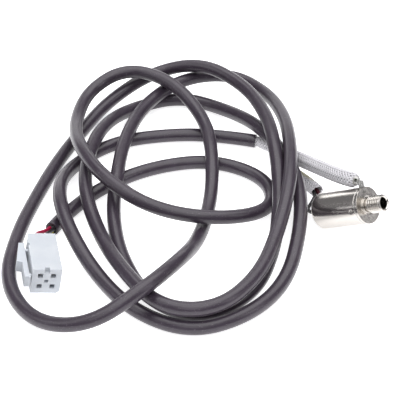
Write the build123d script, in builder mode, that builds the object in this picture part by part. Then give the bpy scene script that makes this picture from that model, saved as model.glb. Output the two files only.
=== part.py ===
from build123d import *

import math
import os

# Flame sensor probe: a steel can with a threaded sight nose, lying nose up beside its own cable,
# which is heaped in loose loops and ends in a latched four-way plug.
# Millimetres, +Z up, floor at z = 0. The origin is the floor point under the middle of the sensor.

# ---- sensor: distances "u" run along its axis from the flange's front face, positive to the nose
TILT = 30  # nose up from the floor, degrees
CAN_R = 6.3
CAN_WALL = 0.6
CAN_ROUND = 1.6  # rounding of the closed rear end
REAR_U = -20.7
FLANGE_T = 0.8
TAG_T = 0.4
CAN_FRONT_U = -(FLANGE_T + TAG_T)
FIT = 0.05  # radial clearance of pieces pushed into each other
PIN_FIT = 0.02  # and of pins and wires in their holes

NOSE_L = 6.8
NOSE_R = 3.0  # M6 x 0.75
NECK_R = 2.5
NECK_L = 1.2
FACE_GROOVE_R = 3.1  # a groove round the neck lets a plate pass over the thread to the flange
FACE_GROOVE_DEPTH = 0.3
NOSE_CHAMFER = 0.4
BORE_R = 1.95
SPIGOT_R = CAN_R - CAN_WALL - FIT
SPIGOT_U = -5.5
POCKET_R = 4.0
POCKET_U = -2.0

GLASS_T = 1.5
SEAL_R = 0.4
RETAINER_T = 1.0
RETAINER_BORE_R = 2.5
CELL_R = 4.0
CELL_T = 2.0
CELL_U = -6.0
CELL_ROUND = 0.3
HOLDER_U = -9.0
BOARD_R = 5.3
BOARD_T = 1.0
BOARD_U = -10.8
LINER_WALL = 0.3
LINER_REAR_U = -17.0
POTTING_U = -12.6
GROMMET_R = 2.45
GROMMET_FLANGE_R = 3.2
GROMMET_FLANGE_T = 0.8
GROMMET_ROUND = 0.3

PIN_R = 0.3
PIN_SPACING = 2.54
CHIP_SIZE = (4.0, 2.0)
CHIP_HEIGHT = 1.2
RESISTOR_SIZE = (1.6, 0.8)
RESISTOR_HEIGHT = 0.5
PART_OFFSET = 2.6  # of the chip above and the resistors below the board's middle
SOLDER_R = 0.7
SOLDER_H = 0.6
SOLDER_TAPER = 35
LEAD_OFFSET = 0.75  # of each signal lead from the axis

STAKE_R = 0.6
STAKE_U = -2.9
STAKE_FOOT_R = 5.0
STAKE_ANGLE = -79  # of the first of three, from the top of the can towards -Y, degrees

EAR_ANGLE = 15  # from the top of the can towards +Y, degrees
EAR_WIDTH = 2.6
EAR_TOP_R = 8.5
EAR_OVERLAP = 0.3
EAR_ROUND = 0.6
STRAP_WIDTH = 2.0
BARREL_R = 1.5
BARREL_L = 3.2
BARREL_INSET = 2.2  # of the barrel into the sleeve's mouth

# ---- cord and sleeves
CABLE_R = 2.45
SLEEVE_R = 2.5
SLEEVE_WALL = 0.6
SIGNAL_SLEEVE_R = 2.4
SIGNAL_SLEEVE_WALL = 0.4
CORE_R = 0.65
CORE_SPREAD = 0.85  # of the three cores about the cable's middle
ARC_SHARE = 0.45  # of the shorter run beside a turn that its arc takes up

# ---- plug: "along" from its rear, "across" from its middle, "up" from its underside
PLUG_HEADING = -42
PLUG_ROLL = 10
PLUG_REAR = (-76.6, -72.9)
PLUG_L = 19.6
PLUG_W = 9.6
PITCH = 4.2
CAVITY = 3.7
MOUTH = 1.6  # of each way in the front wall, where the header's pin enters
MOUTH_WALL = 1.8
FACE_NOTCH_WIDTH = 1.6  # in the middle of the front face's top edge
FACE_NOTCH_HEIGHT = 1.7
FACE_POCKET = 1.2  # in the middle of the face, where the four ways meet
FACE_CUT = 1.2  # how deep the notch and the pocket are
KEY_CHAMFER = 1.0
REAR_RELIEF = (3.0, 0.5)  # off the rear corner under the latch's pad, along and across
CONTACT = 3.4
CONTACT_WALL = 0.45
CONTACT_RECESS = 2.0
CONTACT_REAR = 8.0
CRIMP_R = 1.1
CRIMP_REAR = 3.5
CORE_END = 7.0
CORE_APPROACH = -3.2  # where a core has straightened out behind the plug
CORE_EXIT = 2.6  # straight run of a core out of the cable
CORE_PLACES = {"red": (30, -1, 1), "black": (150, 1, 1), "earth": (270, -1, -1)}
PIVOT_ALONG = 6.0
PIVOT_ACROSS = -4.9
PIVOT_R = 0.6
PIVOT_GAP = 0.05
WEB = 0.8
LATCH_LOW = 3.0
LATCH_HIGH = 7.2
LATCH_INNER = -5.6
LATCH_OUTER = -7.2
PAD_REAR = 2.2  # the thumb pad is a wedge that thickens towards the front
PAD_REAR_OUTER = -7.4
PAD_FRONT = 12.0
PAD_FRONT_OUTER = -9.0
PAD_STEP = 0.6
LATCH_FRONT = 20.2
HOOK_TIP = -5.0
HOOK_L = 1.6

# ---- where things lie
SIN = math.sin(math.radians(TILT))
COS = math.cos(math.radians(TILT))
AXIS_DIR = Vector(COS, 0, SIN)
TOP_DIR = Vector(-SIN, 0, COS)
REACH_FRONT = NOSE_L * COS + (NOSE_R - NOSE_CHAMFER) * SIN
REACH_REAR = (-REAR_U - CAN_ROUND) * COS + (CAN_R - CAN_ROUND) * SIN + CAN_ROUND
FACE_Z = (CAN_R - CAN_ROUND) * COS + CAN_ROUND + (-REAR_U - CAN_ROUND) * SIN
FACE = Vector((REACH_REAR - REACH_FRONT) / 2, 0, FACE_Z)
AXIS = Axis(FACE, AXIS_DIR)
SECTION = Plane(origin=FACE, x_dir=AXIS_DIR, z_dir=(0, -1, 0))  # its x is u, its y the radius

PLUG_TILT = math.radians(PLUG_ROLL)
PLUG_DIR = Vector(math.cos(math.radians(PLUG_HEADING)), math.sin(math.radians(PLUG_HEADING)), 0)
PLUG_SIDE = Vector(-PLUG_DIR.Y, PLUG_DIR.X, 0)
PLUG = Plane(
    origin=(*PLUG_REAR, (PLUG_W / 2 - KEY_CHAMFER) * math.sin(PLUG_TILT)),
    x_dir=PLUG_DIR,
    z_dir=Vector(0, 0, 1) * math.cos(PLUG_TILT) + PLUG_SIDE * math.sin(PLUG_TILT),
)

# The cable, from its cut end beside the sensor to the plug, loop after loop.
CABLE = [
    (-56, 25, 2.5), (-69, 20, 2.5), (-84, 10, 2.5), (-98, -7, 2.5), (-100, -28, 2.5), (-90, -47, 8.4),
    (-74, -61, 8.7), (-55, -70, 2.7), (-32, -78, 2.5), (-11, -75, 2.5), (-1, -57, 2.5), (-1, -36, 2.5),
    (-10, -15, 6.7), (-22, 3, 8.9), (-37, 16, 8.9), (-56, 27, 8.4), (-77, 35, 3.3), (-97, 33, 2.5),
    (-106, 16, 2.9), (-103, -6, 8.2), (-94, -26, 8.4), (-81, -43, 8.2), (-64, -56, 5.8), (-45, -68, 8.0),
    (-22, -77, 8.2), (-7, -67, 8.2), (-6, -45, 8.2), (-14, -22, 9.5), (-23, -2, 14.0), (-35, 16, 14.4),
    (-49, 33, 12.2), (-66, 47, 8.7), (-86, 52, 7.5), (-99, 37, 8.2), (-99, 13, 8.2), (-91, -8, 8.2),
    (-80, -26, 8.2), (-68, -44, 4.4), (-52, -59, 2.5), (-31, -71, 2.5), (-12, -68, 2.5), (-6, -47, 2.5),
    (-14, -24, 3.1), (-25, -5, 8.4), (-38, 11, 14.0), (-53, 27, 14.7), (-71, 39, 14.2), (-93, 42, 14.9),
    (-110, 33, 9.1), (-116, 13, 3.8), (-112, -8, 2.5), (-106, -29, 2.5), (-98, -49, 2.5), (-89, -69, 2.5),
    (-75, -91, 2.5), (-54, -101, 2.5), (-35, -96, 7.2), (-27, -78, 14.2), (-29, -57, 11.5), (-37, -36, 2.7),
    (-47, -15, 2.9), (-59, 2, 8.4), (-74, 18, 8.7), (-95, 26, 13.8), (-115, 23, 14.0), (-121, 7, 9.5),
    (-111, -13, 8.9), (-95, -29, 14.0), (-76, -39, 14.2), (-54, -40, 10.7), (-34, -29, 8.4), (-26, -7, 2.9),
    (-39, 8, 2.5), (-61, 6, 2.5), (-76, -10, 2.5), (-83, -31, 2.5), (-83, -50, 2.5), (-80, -61.5, 3.6),
]

# The braided sleeve over the earth core, from the cable's cut end up to the earth tag.
EARTH_SLEEVE = [
    (-56, 25, 2.5), (-52.36, 26.4, 2.5), (-47.2, 25.6, 2.6), (-41.6, 23.6, 3.4), (-34.9, 20.5, 6.0),
    (-26.3, 15.4, 10.0), (-16.5, 9.5, 14.5), (-7.0, 4.4, 18.6), (-1.2, 2.8, 20.6),
]

# The braided sleeve over the two signal leads, from beside the first sleeve to the can's rear.
SIGNAL_SLEEVE = [
    (-39.5, 16.6, 2.5), (-36.0, 16.3, 2.5), (-30.6, 15.0, 2.6), (-24.6, 12.9, 3.0), (-19.8, 10.5, 3.6),
]
RED_LEAD = [
    (-16.7, 2.6, 2.1), (-17.0, 6.6, 2.6), (-18.3, 10.2, 3.4), (-24.3, 13.6, 3.0), (-30.4, 15.7, 2.6),
    (-35.85, 17.0, 2.5),
]
RED_TURN_U = -23.6  # where each lead leaves the can's axis line
BLACK_TURN_U = -24.2
BLACK_LEAD = [
    (-18.2, 1.6, 1.5), (-18.8, 6.2, 2.1), (-19.6, 9.6, 3.1), (-24.9, 12.2, 3.0), (-30.8, 14.3, 2.6),
    (-36.15, 15.6, 2.5),
]

os.makedirs("parts", exist_ok=True)


def finish(piece, name):
    """Label a finished piece and write it out."""
    piece.part.label = name
    export_step(piece.part, f"parts/{name}.step")


def on_axis(u):
    """The point of the sensor's axis at u."""
    return FACE + AXIS_DIR * u


def across(u):
    """The plane across the axis at u: its x is +Y and its y is the top of the can."""
    return Plane(origin=on_axis(u), x_dir=(0, 1, 0), z_dir=AXIS_DIR)


def outward(angle):
    """The direction out from the axis at an angle from the top, positive towards +Y."""
    turn = math.radians(angle)
    return TOP_DIR * math.cos(turn) + Vector(0, 1, 0) * math.sin(turn)


def stake_planes(radius):
    """The planes across the three stakes at a radius from the axis."""
    planes = []
    for step in range(3):
        out = outward(STAKE_ANGLE + 120 * step)
        planes.append(Plane(origin=on_axis(STAKE_U) + out * radius, x_dir=AXIS_DIR, z_dir=out))
    return planes


def ring(u_rear, u_front, outer, inner=0.0):
    """A plain disc or ring about the sensor's axis."""
    with BuildPart() as piece:
        with BuildSketch(across(u_rear)):
            Circle(outer)
            if inner:
                Circle(inner, mode=Mode.SUBTRACT)
        extrude(amount=u_front - u_rear)
    return piece


def turn_radii(points):
    """The arc that each inner point of a route has room for."""
    radii = []
    for before, here, after in zip(points, points[1:], points[2:]):
        run_in = Vector(here) - Vector(before)
        run_out = Vector(after) - Vector(here)
        half_turn = math.radians(run_in.get_angle(run_out)) / 2
        radii.append(ARC_SHARE * min(run_in.length, run_out.length) / math.tan(half_turn))
    return radii


def tube(name, points, outer, inner=0.0):
    """A cord or sleeve along a route of straight runs joined by tangent arcs."""
    radii = turn_radii(points)
    with BuildPart() as piece:
        with BuildLine() as route:
            FilletPolyline(*points, radius=radii)
        path = route.wire()
        with BuildSketch(Plane(origin=path @ 0, z_dir=path % 0)):
            Circle(outer)
            if inner:
                Circle(inner, mode=Mode.SUBTRACT)
        sweep(path=path)
    expected = math.pi * (outer**2 - inner**2) * path.length
    print(f"{name}: length {path.length:.1f}, volume over section x length",
          f"{piece.part.volume / expected:.4f}, radii", [round(radius, 1) for radius in radii])
    finish(piece, name)


# ================= sensor: case =================

with BuildPart() as can:
    with BuildSketch(across(REAR_U)):
        Circle(CAN_R)
    extrude(amount=CAN_FRONT_U - REAR_U)
    fillet(can.edges().sort_by(AXIS)[0], CAN_ROUND)
    offset(amount=-CAN_WALL, openings=can.faces().sort_by(AXIS)[-1])
    with BuildSketch(across(REAR_U)):
        Circle(GROMMET_R + FIT)
    extrude(amount=CAN_WALL, mode=Mode.SUBTRACT)
    for plane in stake_planes(0):
        with BuildSketch(plane):
            Circle(STAKE_R)
        extrude(amount=2 * CAN_R, mode=Mode.SUBTRACT)
finish(can, "sensor_can")

with BuildPart() as cap:
    with BuildSketch(SECTION):
        with BuildLine():
            Polyline(
                (SPIGOT_U, POCKET_R),
                (SPIGOT_U, SPIGOT_R),
                (-FLANGE_T, SPIGOT_R),
                (-FLANGE_T, CAN_R),
                (0, CAN_R),
                (0, FACE_GROOVE_R),
                (-FACE_GROOVE_DEPTH, FACE_GROOVE_R),
                (-FACE_GROOVE_DEPTH, NECK_R),
                (NECK_L, NECK_R),
                (NECK_L + NOSE_R - NECK_R, NOSE_R),
                (NOSE_L - NOSE_CHAMFER, NOSE_R),
                (NOSE_L, NOSE_R - NOSE_CHAMFER),
                (NOSE_L, BORE_R + NOSE_CHAMFER),
                (NOSE_L - NOSE_CHAMFER, BORE_R),
                (POCKET_U, BORE_R),
                (POCKET_U, POCKET_R),
                (SPIGOT_U, POCKET_R),
            )
        make_face()
    revolve(axis=AXIS)
    for plane in stake_planes(STAKE_FOOT_R):
        with BuildSketch(plane):
            Circle(STAKE_R)
        extrude(amount=SPIGOT_R - STAKE_FOOT_R, mode=Mode.SUBTRACT)
finish(cap, "front_cap")

with BuildPart() as stakes:
    for plane in stake_planes(STAKE_FOOT_R):
        with BuildSketch(plane):
            Circle(STAKE_R - PIN_FIT)
        extrude(amount=CAN_R - STAKE_FOOT_R)
finish(stakes, "stake_pins")

# The earth tag: a ring under the flange, an ear past its rim and a strap to a crimp barrel that
# lies in the mouth of the earth sleeve.
SLEEVE_MOUTH = Vector(EARTH_SLEEVE[-1])
STRAP_DIR = (SLEEVE_MOUTH - Vector(EARTH_SLEEVE[-2])).normalized()
STRAP_UP = (outward(EAR_ANGLE) - STRAP_DIR * outward(EAR_ANGLE).dot(STRAP_DIR)).normalized()
STRAP_L = (SLEEVE_MOUTH - on_axis(CAN_FRONT_U + TAG_T / 2)).dot(AXIS_DIR) / -STRAP_DIR.dot(AXIS_DIR)
BARREL_REAR = SLEEVE_MOUTH - STRAP_DIR * BARREL_INSET
with BuildPart() as tag:
    with BuildSketch(across(CAN_FRONT_U)):
        Circle(CAN_R)
        Circle(SPIGOT_R + FIT, mode=Mode.SUBTRACT)
    extrude(amount=TAG_T)
    ear_mid = outward(EAR_ANGLE) * ((CAN_R + EAR_TOP_R) / 2 - EAR_OVERLAP)
    with BuildSketch(Plane(on_axis(CAN_FRONT_U) + ear_mid, x_dir=outward(EAR_ANGLE), z_dir=AXIS_DIR)):
        RectangleRounded(EAR_TOP_R - CAN_R + 2 * EAR_OVERLAP, EAR_WIDTH, EAR_ROUND)
    extrude(amount=TAG_T)
    with BuildSketch(Plane(origin=SLEEVE_MOUTH, x_dir=STRAP_UP, z_dir=STRAP_DIR)):
        Rectangle(TAG_T, STRAP_WIDTH)
    extrude(amount=STRAP_L)
    with BuildSketch(Plane(origin=BARREL_REAR, x_dir=STRAP_UP, z_dir=STRAP_DIR)):
        Circle(BARREL_R)
    extrude(amount=BARREL_L)
    with BuildSketch(Plane(origin=BARREL_REAR, x_dir=STRAP_UP, z_dir=STRAP_DIR)):
        Circle(CORE_R + PIN_FIT)
    extrude(amount=BARREL_L, mode=Mode.SUBTRACT)
finish(tag, "earth_tag")

# ================= sensor: what it holds =================

glass = ring(POCKET_U - GLASS_T, POCKET_U, POCKET_R - FIT)
finish(glass, "window_glass")

SEAL_U = POCKET_U - GLASS_T - SEAL_R
with BuildPart() as seal:
    with BuildSketch(SECTION):
        with Locations((SEAL_U, POCKET_R - FIT - SEAL_R)):
            Circle(SEAL_R)
    revolve(axis=AXIS)
finish(seal, "window_seal")

RETAINER_FRONT_U = SEAL_U - SEAL_R
retainer = ring(RETAINER_FRONT_U - RETAINER_T, RETAINER_FRONT_U, POCKET_R - FIT, RETAINER_BORE_R)
finish(retainer, "window_retainer")

with BuildPart() as cell:
    with BuildSketch(across(CELL_U - CELL_T)):
        Circle(CELL_R)
    extrude(amount=CELL_T)
    fillet(cell.edges().sort_by(AXIS)[-1], CELL_ROUND)
finish(cell, "photocell")

with BuildPart() as holder:
    with BuildSketch(across(HOLDER_U)):
        Circle(CAN_R - CAN_WALL - FIT)
    extrude(amount=SPIGOT_U - HOLDER_U)
    with BuildSketch(across(CELL_U - CELL_T)):
        Circle(CELL_R + FIT)
    extrude(amount=SPIGOT_U - CELL_U + CELL_T, mode=Mode.SUBTRACT)
    with BuildSketch(across(HOLDER_U)):
        with GridLocations(0, PIN_SPACING, 1, 2):
            Circle(PIN_R + PIN_FIT)
    extrude(amount=-(HOLDER_U - CELL_U + CELL_T), mode=Mode.SUBTRACT)
finish(holder, "cell_holder")

with BuildPart() as pins:
    with BuildSketch(across(BOARD_U - BOARD_T)):
        with GridLocations(0, PIN_SPACING, 1, 2):
            Circle(PIN_R)
    extrude(amount=CELL_U - CELL_T - BOARD_U + BOARD_T)
finish(pins, "cell_pins")

with BuildPart() as board:
    with BuildSketch(across(BOARD_U - BOARD_T)):
        Circle(BOARD_R)
        with GridLocations(0, PIN_SPACING, 1, 2):
            Circle(PIN_R + PIN_FIT, mode=Mode.SUBTRACT)
    extrude(amount=BOARD_T)
finish(board, "circuit_board")

with BuildPart() as components:
    with BuildSketch(across(BOARD_U)):
        with Locations((0, PART_OFFSET)):
            Rectangle(*CHIP_SIZE)
    extrude(amount=CHIP_HEIGHT)
    with BuildSketch(across(BOARD_U)):
        with Locations((-RESISTOR_SIZE[0], -PART_OFFSET), (RESISTOR_SIZE[0], -PART_OFFSET)):
            Rectangle(*RESISTOR_SIZE)
    extrude(amount=RESISTOR_HEIGHT)
finish(components, "board_components")

with BuildPart() as solder:
    with BuildSketch(across(BOARD_U - BOARD_T)):
        with GridLocations(0, PIN_SPACING, 1, 2):
            Circle(SOLDER_R)
    extrude(amount=-SOLDER_H, taper=SOLDER_TAPER)
finish(solder, "solder_joints")

with BuildPart() as liner:
    with BuildSketch(across(LINER_REAR_U)):
        Circle(SPIGOT_R)
        Circle(SPIGOT_R - LINER_WALL, mode=Mode.SUBTRACT)
    extrude(amount=HOLDER_U - LINER_REAR_U)
finish(liner, "insulating_liner")

with BuildPart() as potting:
    with BuildSketch(across(LINER_REAR_U)):
        Circle(BOARD_R)
        with GridLocations(2 * LEAD_OFFSET, 0, 2, 1):
            Circle(CORE_R + PIN_FIT, mode=Mode.SUBTRACT)
    extrude(amount=POTTING_U - LINER_REAR_U)
finish(potting, "potting")

with BuildPart() as grommet:
    with BuildSketch(across(REAR_U - GROMMET_FLANGE_T)):
        Circle(GROMMET_FLANGE_R)
    extrude(amount=GROMMET_FLANGE_T)
    fillet(grommet.edges().sort_by(AXIS)[0], GROMMET_ROUND)
    with BuildSketch(across(REAR_U)):
        Circle(GROMMET_R)
    extrude(amount=CAN_WALL)
    with BuildSketch(across(REAR_U + CAN_WALL)):
        Circle(GROMMET_FLANGE_R)
    extrude(amount=GROMMET_FLANGE_T)
    with BuildSketch(across(REAR_U - GROMMET_FLANGE_T)):
        with GridLocations(2 * LEAD_OFFSET, 0, 2, 1):
            Circle(CORE_R + PIN_FIT)
    extrude(amount=2 * GROMMET_FLANGE_T + CAN_WALL, mode=Mode.SUBTRACT)
finish(grommet, "rear_grommet")

# ================= cable, sleeves and leads =================

tube("cable_jacket", CABLE, CABLE_R)
tube("earth_sleeve", EARTH_SLEEVE, SLEEVE_R, SLEEVE_R - SLEEVE_WALL)
tube("earth_core", EARTH_SLEEVE, CORE_R)
tube("signal_sleeve", SIGNAL_SLEEVE, SIGNAL_SLEEVE_R, SIGNAL_SLEEVE_R - SIGNAL_SLEEVE_WALL)


def inside_can(side, turn_u):
    """The straight start of a signal lead, from the board out through the grommet."""
    return [
        tuple(on_axis(BOARD_U - BOARD_T) + Vector(0, side * LEAD_OFFSET, 0)),
        tuple(on_axis(turn_u) + Vector(0, side * LEAD_OFFSET, 0)),
    ]


tube("signal_lead_red", inside_can(1, RED_TURN_U) + RED_LEAD, CORE_R)
tube("signal_lead_black", inside_can(-1, BLACK_TURN_U) + BLACK_LEAD, CORE_R)

CABLE_END = Vector(CABLE[-1])
CABLE_HEADING = (CABLE_END - Vector(CABLE[-2])).normalized()
CABLE_SIDE = CABLE_HEADING.cross(Vector(0, 0, 1)).normalized()
CABLE_TOP = CABLE_SIDE.cross(CABLE_HEADING)


def in_plug(along, across_, up):
    """A point given in the plug's own directions."""
    return tuple(PLUG.from_local_coords(Vector(along, across_, up)))


def way(column, row):
    """The middle of one of the plug's four ways, across and up."""
    return column * PITCH / 2, PLUG_W / 2 + row * PITCH / 2


for colour, (angle, column, row) in CORE_PLACES.items():
    turn = math.radians(angle)
    start = CABLE_END + (CABLE_SIDE * math.cos(turn) + CABLE_TOP * math.sin(turn)) * CORE_SPREAD
    core_route = [
        tuple(start),
        tuple(start + CABLE_HEADING * CORE_EXIT),
        in_plug(CORE_APPROACH, *way(column, row)),
        in_plug(CORE_END, *way(column, row)),
    ]
    tube(f"plug_core_{colour}", core_route, CORE_R)

# ================= plug =================


def plug_section(along):
    """The plane across the plug: its x is across and its y is up."""
    return Plane(origin=in_plug(along, 0, 0), x_dir=PLUG.y_dir, z_dir=PLUG.x_dir)


with BuildPart() as housing:
    with BuildSketch(plug_section(0)) as outline:
        with Locations((0, PLUG_W / 2)):
            Rectangle(PLUG_W, PLUG_W)
        chamfer(outline.vertices().group_by(Axis.X)[-1].sort_by(Axis.Y)[0], KEY_CHAMFER)
    extrude(amount=PLUG_L)
    for hole, depth in ((CAVITY, PLUG_L - MOUTH_WALL), (MOUTH, PLUG_L)):
        with BuildSketch(plug_section(0)):
            with Locations((0, PLUG_W / 2)):
                with GridLocations(PITCH, PITCH, 2, 2):
                    Rectangle(hole, hole)
        extrude(amount=depth, mode=Mode.SUBTRACT)
    with BuildSketch(plug_section(PLUG_L - FACE_CUT)):
        with Locations((0, PLUG_W)):
            Rectangle(FACE_NOTCH_WIDTH, 2 * FACE_NOTCH_HEIGHT)
        with Locations((0, PLUG_W / 2)):
            Rectangle(FACE_POCKET, FACE_POCKET)
    extrude(amount=FACE_CUT, mode=Mode.SUBTRACT)
    with BuildSketch(PLUG):
        with BuildLine():
            Polyline(
                (0, -PLUG_W / 2),
                (REAR_RELIEF[0], -PLUG_W / 2),
                (0, -PLUG_W / 2 + REAR_RELIEF[1]),
                (0, -PLUG_W / 2),
            )
        make_face()
        with Locations((PIVOT_ALONG, PIVOT_ACROSS)):
            Circle(PIVOT_R + PIVOT_GAP)
    extrude(amount=PLUG_W, mode=Mode.SUBTRACT)
finish(housing, "connector_housing")

with BuildPart() as contacts:
    for _, column, row in CORE_PLACES.values():
        with BuildSketch(plug_section(CRIMP_REAR)):
            with Locations(way(column, row)):
                Circle(CRIMP_R)
        extrude(amount=CONTACT_REAR - CRIMP_REAR)
        with BuildSketch(plug_section(CONTACT_REAR)):
            with Locations(way(column, row)):
                Rectangle(CONTACT, CONTACT)
        extrude(amount=PLUG_L - CONTACT_RECESS - CONTACT_REAR)
        with BuildSketch(plug_section(CONTACT_REAR + CONTACT_WALL)):
            with Locations(way(column, row)):
                Rectangle(CONTACT - 2 * CONTACT_WALL, CONTACT - 2 * CONTACT_WALL)
        extrude(amount=PLUG_L - CONTACT_REAR, mode=Mode.SUBTRACT)
        with BuildSketch(plug_section(CRIMP_REAR)):
            with Locations(way(column, row)):
                Circle(CORE_R + PIN_FIT)
        extrude(amount=CONTACT_REAR - CRIMP_REAR, mode=Mode.SUBTRACT)
finish(contacts, "connector_contacts")

with BuildPart() as latch:
    with BuildSketch(PLUG.offset(LATCH_LOW)):
        with BuildLine():
            Polyline(
                (PAD_REAR, LATCH_INNER),
                (PAD_REAR, PAD_REAR_OUTER),
                (PAD_FRONT, PAD_FRONT_OUTER),
                (PAD_FRONT + PAD_STEP, LATCH_OUTER),
                (LATCH_FRONT, LATCH_OUTER),
                (LATCH_FRONT, LATCH_INNER),
                (LATCH_FRONT - HOOK_L / 2, HOOK_TIP),
                (LATCH_FRONT - HOOK_L, HOOK_TIP),
                (LATCH_FRONT - HOOK_L, LATCH_INNER),
                (PAD_REAR, LATCH_INNER),
            )
        make_face()
        with Locations((PIVOT_ALONG, (PIVOT_ACROSS + LATCH_INNER) / 2)):
            Rectangle(WEB, PIVOT_ACROSS - LATCH_INNER)
        with Locations((PIVOT_ALONG, PIVOT_ACROSS)):
            Circle(PIVOT_R)
    extrude(amount=LATCH_HIGH - LATCH_LOW)
finish(latch, "latch_lever")
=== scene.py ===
import math

import bmesh
import bpy
import numpy as np
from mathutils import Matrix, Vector, noise


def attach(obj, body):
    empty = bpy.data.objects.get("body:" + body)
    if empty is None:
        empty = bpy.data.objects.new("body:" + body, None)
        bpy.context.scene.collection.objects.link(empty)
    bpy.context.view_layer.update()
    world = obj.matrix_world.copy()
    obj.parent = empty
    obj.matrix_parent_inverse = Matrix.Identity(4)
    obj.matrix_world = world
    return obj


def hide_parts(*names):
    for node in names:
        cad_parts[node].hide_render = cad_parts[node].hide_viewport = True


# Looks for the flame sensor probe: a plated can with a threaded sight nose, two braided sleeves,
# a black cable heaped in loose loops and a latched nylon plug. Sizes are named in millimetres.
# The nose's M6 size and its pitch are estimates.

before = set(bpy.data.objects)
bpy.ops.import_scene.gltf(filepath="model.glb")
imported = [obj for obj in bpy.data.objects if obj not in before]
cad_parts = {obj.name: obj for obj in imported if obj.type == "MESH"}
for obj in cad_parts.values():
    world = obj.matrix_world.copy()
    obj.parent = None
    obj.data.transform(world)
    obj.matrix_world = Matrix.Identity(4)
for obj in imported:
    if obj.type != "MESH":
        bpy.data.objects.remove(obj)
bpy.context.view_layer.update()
MM = 0.001
PROBE, LATCH = "probe", "latch"

# ================= camera, floor and light =================

VIEW_AZIMUTH, VIEW_ELEVATION = 36.5, 36.0
VIEW_TARGET = Vector((-52.6, -14.2, 0)) * MM
VIEW_DISTANCE = 528 * MM
LENS = 135


def away(azimuth, elevation):
    """The direction from the object to something at an azimuth and elevation in degrees."""
    turn, rise = math.radians(azimuth), math.radians(elevation)
    return Vector((math.sin(turn) * math.cos(rise), -math.cos(turn) * math.cos(rise), math.sin(rise)))


def place(data, name, where, target):
    """Puts a camera or a lamp at a point, facing another."""
    made = bpy.data.objects.new(name, data)
    bpy.context.scene.collection.objects.link(made)
    made.location = where
    made.rotation_mode = "QUATERNION"
    made.rotation_quaternion = (target - where).to_track_quat("-Z", "Y")
    return made


camera = bpy.data.cameras.new("camera")
camera.lens = LENS
camera.sensor_width = 36
camera.clip_start = 0.01
bpy.context.scene.camera = place(
    camera, "camera", VIEW_TARGET + away(VIEW_AZIMUTH, VIEW_ELEVATION) * VIEW_DISTANCE, VIEW_TARGET
)
bpy.context.scene.view_settings.view_transform = "Standard"


def softbox(name, azimuth, elevation, distance, size, power):
    """A square lamp with a soft edge to its shadow, facing the middle of the object."""
    lamp = bpy.data.lights.new(name, "AREA")
    lamp.shape = "RECTANGLE"
    lamp.size, lamp.size_y = size
    lamp.energy = power
    place(lamp, name, VIEW_TARGET + away(azimuth, elevation) * distance, VIEW_TARGET)


softbox("top_softbox", 200, 78, 1.3, (1.8, 1.8), 25)
softbox("left_softbox", -40, 35, 1.5, (0.9, 0.9), 4)
softbox("right_softbox", 110, 30, 1.6, (0.5, 0.9), 3)
softbox("back_strip", 222, 15, 1.6, (1.8, 0.3), 4)
softbox("front_fill", 36, 50, 1.7, (1.3, 1.3), 8)

world = bpy.data.worlds.new("studio")
bpy.context.scene.world = world
world.use_nodes = True
world.node_tree.nodes["Background"].inputs["Color"].default_value = (0.96, 0.95, 1.0, 1)
world.node_tree.nodes["Background"].inputs["Strength"].default_value = 0.24

# ================= making materials =================


def linear(text):
    """A colour written as an sRGB hex value, in linear light."""
    parts = [int(text[digit : digit + 2], 16) / 255 for digit in (1, 3, 5)]
    return [c / 12.92 if c <= 0.04045 else ((c + 0.055) / 1.055) ** 2.4 for c in parts] + [1]


def add(tree, kind, inputs=(), **settings):
    """Adds a node with its settings. An input given as a socket is linked, and any other is a value."""
    made = tree.nodes.new(kind)
    for name, value in settings.items():
        setattr(made, name, value)
    for key, value in dict(inputs).items():
        if isinstance(value, bpy.types.NodeSocket):
            tree.links.new(value, made.inputs[key])
        else:
            made.inputs[key].default_value = value
    return made


def blank(name):
    """An empty node material, its tree and its shader."""
    made = bpy.data.materials.new(name)
    made.use_nodes = True
    tree = made.node_tree
    return made, tree, tree.nodes["Principled BSDF"]


def grain_of(tree, size, stretch=(1, 1, 1), turn=(0, 0, 0), detail=4.0, space="Object", rough=0.6):
    """Noise whose blotches measure size millimetres, stretched by stretch along turned axes."""
    where = add(tree, "ShaderNodeTexCoord").outputs[space]
    turned_axes = add(tree, "ShaderNodeMapping", {"Vector": where, "Rotation": turn})
    scaled = add(
        tree,
        "ShaderNodeMapping",
        {"Vector": turned_axes.outputs[0], "Scale": [1 / (MM * size * s) for s in stretch]},
    )
    return add(
        tree,
        "ShaderNodeTexNoise",
        {"Vector": scaled.outputs[0], "Scale": 1.0, "Detail": detail, "Roughness": rough},
    ).outputs["Fac"]


def blended(tree, share, one, other):
    """A colour between two, by a share from 0 to 1."""
    ramp = add(tree, "ShaderNodeValToRGB", {"Fac": share})
    ramp.color_ramp.elements[0].position = 0.3
    ramp.color_ramp.elements[0].color = one
    ramp.color_ramp.elements[1].position = 0.7
    ramp.color_ramp.elements[1].color = other
    return ramp.outputs["Color"]


def spread(tree, share, low, high):
    """A value between low and high, by a share from 0 to 1."""
    limits = {"From Min": 0.3, "From Max": 0.7, "To Min": low, "To Max": high}
    return add(tree, "ShaderNodeMapRange", {"Value": share, **limits}).outputs["Result"]


def relief(tree, height, depth, below=None):
    """A bump of a depth in millimetres, over another one if there is one."""
    inputs = {"Height": height, "Strength": 1.0, "Distance": depth * MM}
    if below is not None:
        inputs["Normal"] = below
    return add(tree, "ShaderNodeBump", inputs).outputs["Normal"]


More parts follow.
